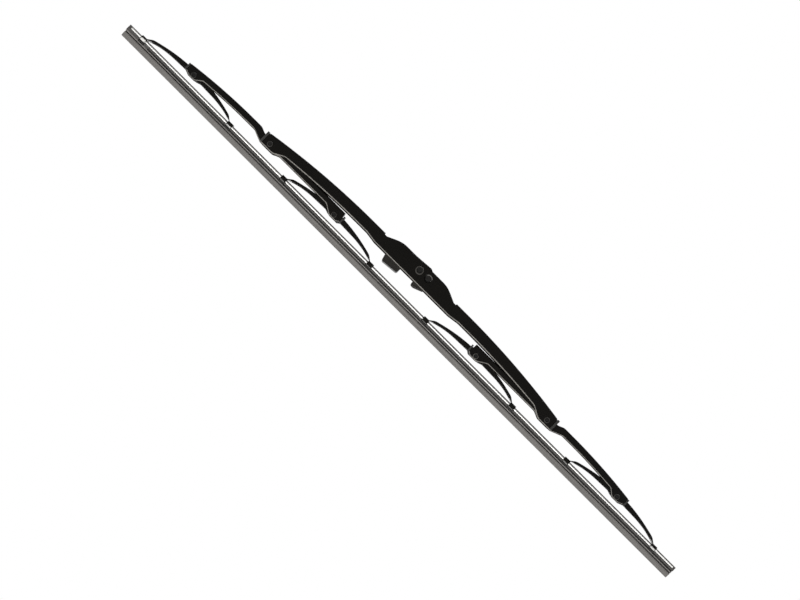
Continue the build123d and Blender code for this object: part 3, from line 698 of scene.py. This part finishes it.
share = addNode(tree, "ShaderNodeMath", {"operation": "MULTIPLY"}, {
    0: seen.outputs["Value"], 1: fade.outputs["Result"]})
matt = addNode(tree, "ShaderNodeBsdfDiffuse", links={"Color": linear(stage["floor"])})
glow = addNode(tree, "ShaderNodeEmission", links={"Color": linear(stage["white"]), "Strength": 1.0})
mixed = addNode(tree, "ShaderNodeMixShader", links={
    "Fac": share.outputs["Value"], 1: matt.outputs["BSDF"], 2: glow.outputs["Emission"]})
addNode(tree, "ShaderNodeOutputMaterial", links={"Surface": mixed.outputs["Shader"]})
floor.data.materials.append(floorLook)

studio = {  # light by direction: a dark room in front, bright behind
    "camera": 1.0, "front": 0.08, "behind": 0.5, "behindMirrored": 1.0, "turn": (-0.5, 0.6),
}
world = bpy.data.worlds.new("softStudio")
bpy.context.scene.world = world
world.use_nodes = True
tree = world.node_tree
tree.nodes.clear()
ray = addNode(tree, "ShaderNodeLightPath")
where = addNode(tree, "ShaderNodeTexCoord")
axes = addNode(tree, "ShaderNodeSeparateXYZ", links={"Vector": where.outputs["Generated"]})
room = addNode(tree, "ShaderNodeMapRange", {"interpolation_type": "SMOOTHSTEP"}, {
    "Value": axes.outputs["Y"], "From Min": studio["turn"][0], "From Max": studio["turn"][1],
    "To Min": studio["front"], "To Max": studio["behind"]})
shine = addNode(tree, "ShaderNodeMapRange", {"interpolation_type": "SMOOTHSTEP"}, {
    "Value": axes.outputs["Y"], "From Min": studio["turn"][0], "From Max": studio["turn"][1],
    "To Min": studio["front"], "To Max": studio["behindMirrored"]})
mirrored = addNode(tree, "ShaderNodeMath", {"operation": "MAXIMUM"}, {
    0: ray.outputs["Is Glossy Ray"], 1: ray.outputs["Is Transmission Ray"]})
around = addNode(tree, "ShaderNodeMix", links={
    "Factor": mirrored.outputs["Value"], "A": room.outputs["Result"], "B": shine.outputs["Result"]})
level = addNode(tree, "ShaderNodeMix", links={
    "Factor": ray.outputs["Is Camera Ray"], "A": around.outputs["Result"], "B": studio["camera"]})
light = addNode(tree, "ShaderNodeBackground", links={
    "Color": linear(stage["white"]), "Strength": level.outputs["Result"]})
addNode(tree, "ShaderNodeOutputWorld", links={"Surface": light.outputs["Background"]})

lamps = {  # metres, watts
    "lowKey": {"place": (0.0, -0.62, -0.4), "size": (1.3, 0.4), "power": 6.0},
    "topSoft": {"place": (0.0, 0.3, 0.9), "size": (1.4, 0.7), "power": 7.0},
    "backSoft": {"place": (0.0, 0.75, 0.25), "size": (1.3, 0.4), "power": 4.0},
}
for name, lamp in lamps.items():
    data = bpy.data.lights.new(name, "AREA")
    data.shape = "RECTANGLE"
    data.size, data.size_y = lamp["size"]
    data.energy = lamp["power"]
    obj = bpy.data.objects.new(name, data)
    bpy.context.scene.collection.objects.link(obj)
    obj.location = lamp["place"]
    obj.rotation_euler = (-Vector(lamp["place"])).to_track_quat("-Z", "Y").to_euler()
print("stage and", len(lamps), "lamps")

# camera: long lens from a little below the blade, rolled so that it runs down to the right
shot = {
    "place": (0.0416, -1.7497, -0.1454), "clipEnd": 20.0,  # metres
    "yaw": 1.2, "rise": 3.94, "roll": 45.0,  # degrees
    "focal": 2407, "width": 800, "sensor": 36,  # pixels, pixels, mm
}
view = bpy.data.cameras.new("shot")
view.sensor_width = shot["sensor"]
view.lens = shot["focal"] / shot["width"] * shot["sensor"]
view.clip_end = shot["clipEnd"]
camera = bpy.data.objects.new("shot", view)
bpy.context.scene.collection.objects.link(camera)
camera.location = shot["place"]
yaw, rise = math.radians(shot["yaw"]), math.radians(shot["rise"])
ahead = Vector((-math.sin(yaw) * math.cos(rise), math.cos(yaw) * math.cos(rise), math.sin(rise)))
roll = Quaternion((0, 0, 1), math.radians(shot["roll"]))
camera.rotation_mode = "QUATERNION"
camera.rotation_quaternion = ahead.to_track_quat("-Z", "Y") @ roll
bpy.context.scene.camera = camera
bpy.context.scene.view_settings.view_transform = "Standard"

print("done")
